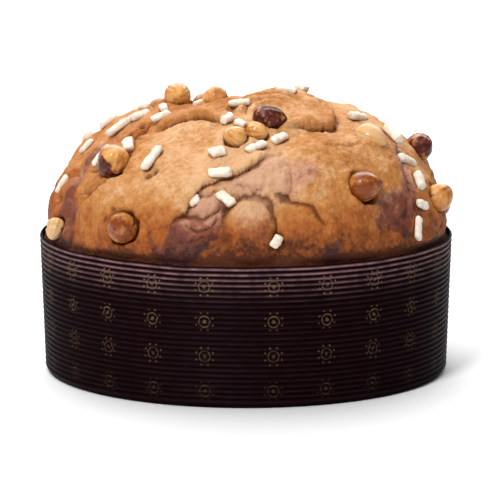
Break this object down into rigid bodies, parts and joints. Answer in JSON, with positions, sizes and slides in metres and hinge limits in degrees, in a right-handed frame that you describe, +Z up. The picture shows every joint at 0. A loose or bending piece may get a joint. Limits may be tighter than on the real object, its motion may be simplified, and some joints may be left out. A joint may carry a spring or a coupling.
{
  "type": "panettone",
  "caption": "Low domed sweet festive bread in a ribbed paper case, its folded crust set with whole hazelnuts and sugar grains.",
  "frame": {"origin": "centre of the case's flat foot, on the surface that it stands on", "axes": "+Z up through the crown, -Y towards the side that the picture shows"},
  "size_m": [0.2102, 0.2104, 0.1476],
  "materials": {
    "crust": "matt golden-brown baked crust, marbled with cocoa dough",
    "case_paper": "dark brown waxed paper pressed into level ribs",
    "hazelnut": "roasted nut, lightly glazed",
    "sugar": "matt white baked sugar"
  },
  "bodies": {
    "root": {"paper_case": "case_paper", "loaf": "crust", "hazelnut_01": "hazelnut", "hazelnut_02": "hazelnut", "hazelnut_03": "hazelnut", "hazelnut_04": "hazelnut", "hazelnut_05": "hazelnut", "hazelnut_06": "hazelnut", "hazelnut_07": "hazelnut", "hazelnut_08": "hazelnut", "hazelnut_09": "hazelnut", "hazelnut_10": "hazelnut", "hazelnut_11": "hazelnut", "hazelnut_12": "hazelnut", "hazelnut_13": "hazelnut", "hazelnut_14": "hazelnut", "hazelnut_15": "hazelnut", "hazelnut_16": "hazelnut", "hazelnut_17": "hazelnut", "hazelnut_18": "hazelnut", "hazelnut_19": "hazelnut", "hazelnut_20": "hazelnut", "hazelnut_21": "hazelnut"}
  },
  "joints": []
}
